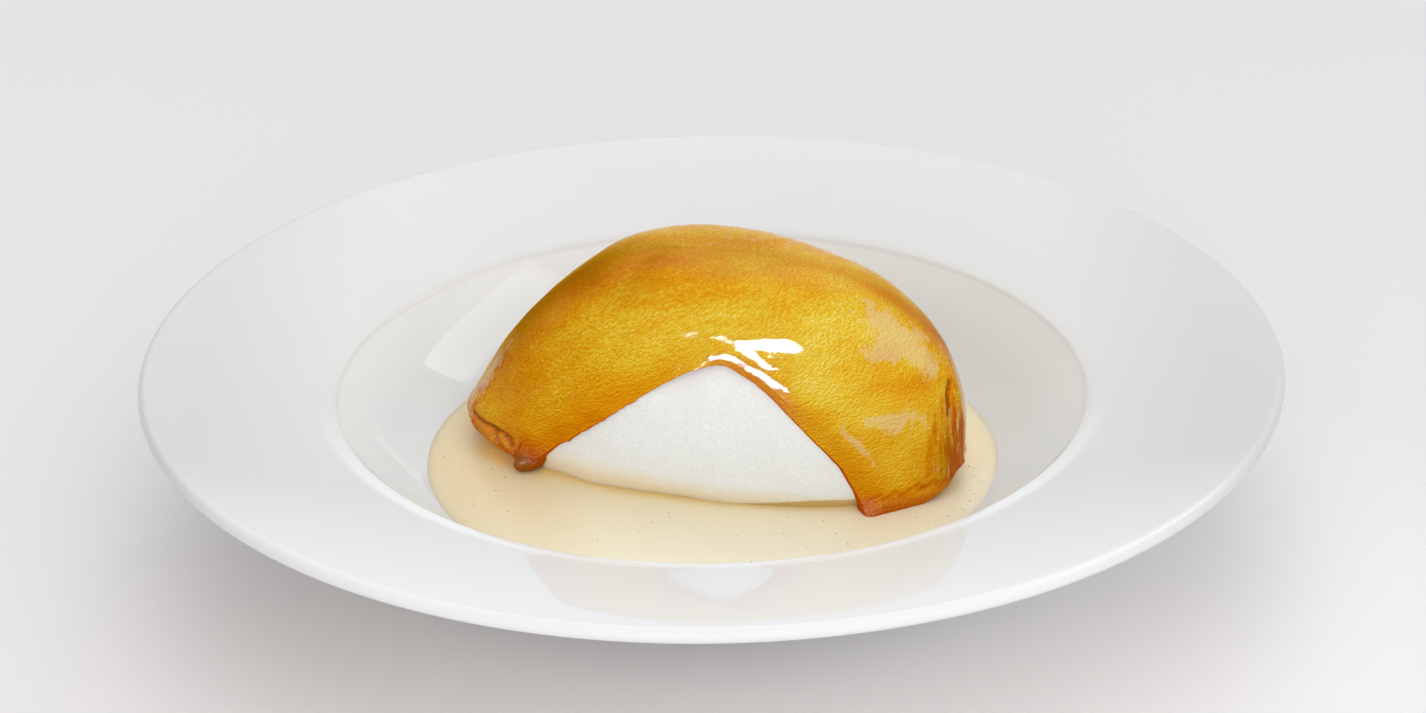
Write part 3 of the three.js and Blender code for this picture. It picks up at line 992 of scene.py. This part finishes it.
def custardMaterial():
    material, tree, shader = newMaterial(
        "vanillaCustard", Roughness=0.22, IOR=1.4, Specular_IOR_Level=0.2,
        Subsurface_Weight=0.3, Subsurface_Scale=6 * mm, Subsurface_Radius=(1.0, 0.7, 0.35),
    )
    split = addNode(tree, "SeparateXYZ", {"Vector": placeOf(tree)})
    cream = custard["cream"]
    # painted light and shade across the pool
    for axis, places, share, tint in custard["lightAndShade"]:
        cream = mixOf(tree, bandOf(tree, split.outputs[axis], places, share), cream, tint)
    # painted shadow round the meringue's foot
    cream = mixOf(tree, markOf(tree, "footShade"), cream, custard["footShadowColour"])
    # painted amber light under the caramel's lip
    feed(tree, shader.inputs["Base Color"], mixOf(tree, markOf(tree, "amberLight"), cream, custard["amberLightColour"]))
    return material


def makeCustard():
    rows, underRows = custard["rows"], custard["underRows"]
    bm = bmesh.new()
    footShade = bm.verts.layers.float.new("footShade")
    amberLight = bm.verts.layers.float.new("amberLight")
    bmesh.ops.create_grid(bm, x_segments=custard["ringSteps"], y_segments=rows + underRows, size=1)
    top = poolRadius(custardLevel) + custard["intoPlate"]
    for vert in bm.verts:
        azimuth = (vert.co.x + 1) * math.pi
        row = round((vert.co.y + 1) / 2 * (rows + underRows))
        inner = footLine(azimuth, custard["intoMeringue"])
        turned = azimuth + math.radians(mound["turn"])
        outer = Vector((top * math.cos(turned), top * math.sin(turned)))
        if row <= rows:
            share = 0.5 - 0.5 * math.cos(math.pi * (row / rows))
            flat = inner.lerp(outer, share)
            width = (outer - inner).length
            fromFoot = max(width * share - custard["intoMeringue"], 0)
            lift, reach = custard["climbMeringue"]
            height = custardLevel + lift * math.exp(-fromFoot / reach)
            lift, reach = custard["climbPlate"]
            height += lift * math.exp(-width * (1 - share) / reach)
            # painted shadow round the meringue's foot
            vert[footShade] = footShadow["amount"] * bell(fromFoot, footShadow["reach"])
            # painted amber light under the caramel's lip
            vert[amberLight] = amberLightAt(flat)
        else:
            flat = inner.lerp(outer, 1 - (row - rows) / underRows)
            height = wallHeight(flat.length) - custard["intoPlate"]
        vert.co = (flat.x * mm, flat.y * mm, height * mm)
    bmesh.ops.remove_doubles(bm, verts=bm.verts, dist=weldGap * mm)
    bmesh.ops.bridge_loops(bm, edges=[edge for edge in bm.edges if edge.is_boundary])
    bmesh.ops.recalc_face_normals(bm, faces=bm.faces)
    piece = finishMesh(bm, "vanillaCustard", custardMaterial())
    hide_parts("custard")


# Vanilla specks: little dark grains lying in the custard's surface
specks = {"seed": 11, "count": 130, "size": (0.14, 0.36), "flat": 0.45, "colour": (0.16, 0.11, 0.06, 1)}
# Bubbles: small flat domes beside them
bubbles = {"seed": 5, "count": 26, "size": (0.25, 0.6), "flat": 0.5, "colour": (0.80, 0.64, 0.38, 1)}
# Both: their length and width as shares of the size, and how far they stay from meringue and plate
sprinkle = {"long": (0.5, 1.0), "wide": (0.35, 0.7), "fromMeringue": 3.0, "fromPlate": 2}


def poolPlaces(draw, count):
    rim = poolRadius(custardLevel) - sprinkle["fromPlate"]
    places = []
    while len(places) < count:
        azimuth = draw.uniform(0, 2 * math.pi)
        inner = footLine(azimuth, -sprinkle["fromMeringue"])
        turned = azimuth + math.radians(mound["turn"])
        outer = Vector((rim * math.cos(turned), rim * math.sin(turned)))
        places.append(inner.lerp(outer, draw.random()))
    return places


def scatter(name, kind, material):
    draw = random.Random(kind["seed"])
    bm = bmesh.new()
    for place in poolPlaces(draw, kind["count"]):
        size = draw.uniform(*kind["size"])
        long, wide = draw.uniform(*sprinkle["long"]), draw.uniform(*sprinkle["wide"])
        shape = Matrix.Diagonal((size * long, size * wide, size * kind["flat"], 1))
        turn = Matrix.Rotation(draw.uniform(0, math.pi), 4, "Z")
        move = Matrix.Translation((place.x, place.y, custardLevel))
        lay = Matrix.Scale(mm, 4) @ move @ turn @ shape
        bmesh.ops.create_icosphere(bm, subdivisions=1, radius=1, matrix=lay)
    finishMesh(bm, name, material)


def makeSpecks():
    material = newMaterial("vanillaSeed", Roughness=0.5, Base_Color=specks["colour"])[0]
    scatter("vanillaSpecks", specks, material)


def makeBubbles():
    material = newMaterial("custardBubble", Roughness=0.15, Base_Color=bubbles["colour"])[0]
    scatter("custardBubbles", bubbles, material)


# Camera: at the photograph's viewing angle
cameraSetup = {
    "distance": 1000.0,
    "elevation": 25.57,
    "roll": -0.88,
    "aim": (0.54, 0.0, 46.0),
    "lens": 95.73,
    "sensor": 36.0,
}


def makeCamera():
    data = bpy.data.cameras.new("camera")
    data.lens = cameraSetup["lens"]
    data.sensor_width = cameraSetup["sensor"]
    data.sensor_fit = "HORIZONTAL"
    camera = bpy.data.objects.new("camera", data)
    bpy.context.scene.collection.objects.link(camera)
    up = math.radians(cameraSetup["elevation"])
    back = Vector((0, -math.cos(up), math.sin(up))) * cameraSetup["distance"]
    tilt = Matrix.Rotation(math.pi / 2 - up, 4, "X")
    roll = Matrix.Rotation(math.radians(cameraSetup["roll"]), 4, "Z")
    camera.matrix_world = Matrix.Translation((Vector(cameraSetup["aim"]) + back) * mm) @ tilt @ roll
    bpy.context.scene.camera = camera
    print("camera stands", cameraSetup["distance"], "mm away")


# Gloss lights: azimuth from the camera's side towards +X, elevation, distance, width, height, roll, and
# glow, its radiance. The keys show in the caramel's glaze alone, and the wall panel in the porcelain
glossLights = {
    "keyLamp": (-12.5, 45, 1200, 490, 240, 0, 340.0),
    "keyTail": (-17.2, 32.2, 1200, 340, 120, -50, 340.0),
    "keySide": (-35, 46, 1200, 160, 85, 64, 200.0),
    "keyEdge": (-22, 7.5, 1200, 490, 240, 0, 340.0),
    "keyGlint": (-4, 22.5, 1200, 50, 40, 0, 300.0),
    "keyNotch": (-10.3, 35.5, 1200, 45, 28, 0, 300.0),
    "keyWide": (-8, 50, 1350, 1800, 1100, 0, 0.8),
    "sidePanel": (105, 46, 1300, 1100, 500, 0, 1.5),
    "wallPanel": (104, 47.5, 1300, 1200, 320, -15, 3.8),
}


def makeLights():
    glazed = bpy.data.collections.new("glazed")
    glazed.objects.link(bpy.data.objects["pouredCaramel"])
    dish = bpy.data.collections.new("dish")
    dish.objects.link(bpy.data.objects["porcelainPlate"])
    for name, (azimuth, elevation, distance, width, height, roll, glow) in glossLights.items():
        data = bpy.data.lights.new(name, "AREA")
        data.shape = "ELLIPSE" if name == "keyLamp" else "RECTANGLE"
        data.size = width * mm
        data.size_y = height * mm
        data.energy = glow * math.pi * data.size * data.size_y
        light = bpy.data.objects.new(name, data)
        bpy.context.scene.collection.objects.link(light)
        side, up = math.radians(azimuth), math.radians(elevation)
        away = Vector((math.sin(side) * math.cos(up), -math.cos(side) * math.cos(up), math.sin(up)))
        light.location = away * distance * mm + Vector((0, 0, custardLevel * mm))
        facing = away.to_track_quat("Z", "Y").to_matrix() @ Matrix.Rotation(math.radians(roll), 3, "Z")
        light.rotation_euler = facing.to_euler()
        if name.startswith("key"):
            light.light_linking.receiver_collection = glazed
        elif name.startswith("wall"):
            light.light_linking.receiver_collection = dish
        light.visible_diffuse = False
        light.visible_transmission = False
    print(len(glossLights), "gloss lights hung")


# A light tent round the table: its radiance on each side and overhead
tent = {"left": 0.0, "right": 0.6, "front": 2.1, "back": 0.9, "top": 1.02}
backLamp = {"glow": 1.8, "focus": 6}    # halfway up behind the table
# warm in front, cool elsewhere
tentTints = {"cool": (0.98, 0.985, 1.0, 1), "warm": (1.0, 0.975, 0.96, 1)}


def makeTent():
    world = bpy.data.worlds.new("studio")
    world.use_nodes = True
    bpy.context.scene.world = world
    tree = world.node_tree
    sky = tree.nodes["Background"]
    way = addNode(tree, "SeparateXYZ", {"Vector": addNode(tree, "TexCoord").outputs["Generated"]})
    glow = 0.0
    for side, axis, sign in (
        ("left", "X", -1), ("right", "X", 1), ("front", "Y", -1), ("back", "Y", 1), ("top", "Z", 1),
    ):
        toward = sumOf(tree, sumOf(tree, way.outputs[axis], sign, "MULTIPLY"), 0.0, "MAXIMUM")
        share = sumOf(tree, toward, toward, "MULTIPLY")
        glow = sumOf(tree, sumOf(tree, share, tent[side], "MULTIPLY"), glow)
        if side == "front":
            feed(tree, sky.inputs["Color"], mixOf(tree, share, tentTints["cool"], tentTints["warm"]))
        if side == "back":
            halfway = sumOf(tree, sumOf(tree, toward, way.outputs["Z"], "MULTIPLY"), 2, "MULTIPLY")
            halfway = sumOf(tree, sumOf(tree, halfway, 0.0, "MAXIMUM"), backLamp["focus"], "POWER")
            glow = sumOf(tree, sumOf(tree, halfway, backLamp["glow"], "MULTIPLY"), glow)
    feed(tree, sky.inputs["Strength"], glow)
    print("tent is up")


# Floor: painted lighter in front, with a painted warm tint in the plate's shadow, darker to the left and
# lighter to the right, and a faint painted glow
floor = {
    "half": 4000,          # half its side
    "far": (0.73, 0.73, 0.74, 1),
    "near": (0.81, 0.805, 0.80, 1),
    "nearBand": (350, -350),
    "shadeLeft": (0.79, 0.755, 0.74, 1),
    "shadeRight": (0.91, 0.885, 0.875, 1),
    "shadeSides": (-170, 170),
    "shadeAt": (0, -100, 0),
    "shadeBand": (240, 100),
    "warmth": (1.0, 0.92, 0.89, 1),    # colour of the painted warm glow under the plate
    "warmBand": (240, 30),
    "warmGlow": 0.04,
}


def makeFloor():
    material, tree, shader = newMaterial(
        "paleFloor", Roughness=0.6, Specular_IOR_Level=0.0, Emission_Color=floor["warmth"],
    )
    place = placeOf(tree)
    x, y, _ = addNode(tree, "SeparateXYZ", {"Vector": place}).outputs
    tint = mixOf(tree, bandOf(tree, y, floor["nearBand"]), floor["far"], floor["near"])
    shade = mixOf(tree, bandOf(tree, x, floor["shadeSides"]), floor["shadeLeft"], floor["shadeRight"])
    middle = Vector(floor["shadeAt"]) * mm
    away = addNode(tree, "VectorMath", {0: place, 1: middle}, operation="DISTANCE").outputs["Value"]
    tint = mixOf(tree, bandOf(tree, away, floor["shadeBand"]), tint, shade)
    feed(tree, shader.inputs["Base Color"], tint)
    # a faint painted glow near the plate
    glow = bandOf(tree, away, floor["warmBand"], floor["warmGlow"])
    feed(tree, shader.inputs["Emission Strength"], glow)
    bm = bmesh.new()
    bmesh.ops.create_grid(bm, x_segments=8, y_segments=8, size=floor["half"] * mm)
    mesh = bpy.data.meshes.new("paleFloor")
    bm.to_mesh(mesh)
    bm.free()
    piece = bpy.data.objects.new("paleFloor", mesh)
    bpy.context.scene.collection.objects.link(piece)
    mesh.materials.append(material)
    print("floor is laid")


makePlate()
makeMeringue()
makeCaramel()
makeCustard()
makeSpecks()
makeBubbles()
makeCamera()
makeLights()
makeTent()
makeFloor()
bpy.context.scene.view_settings.view_transform = "Standard"
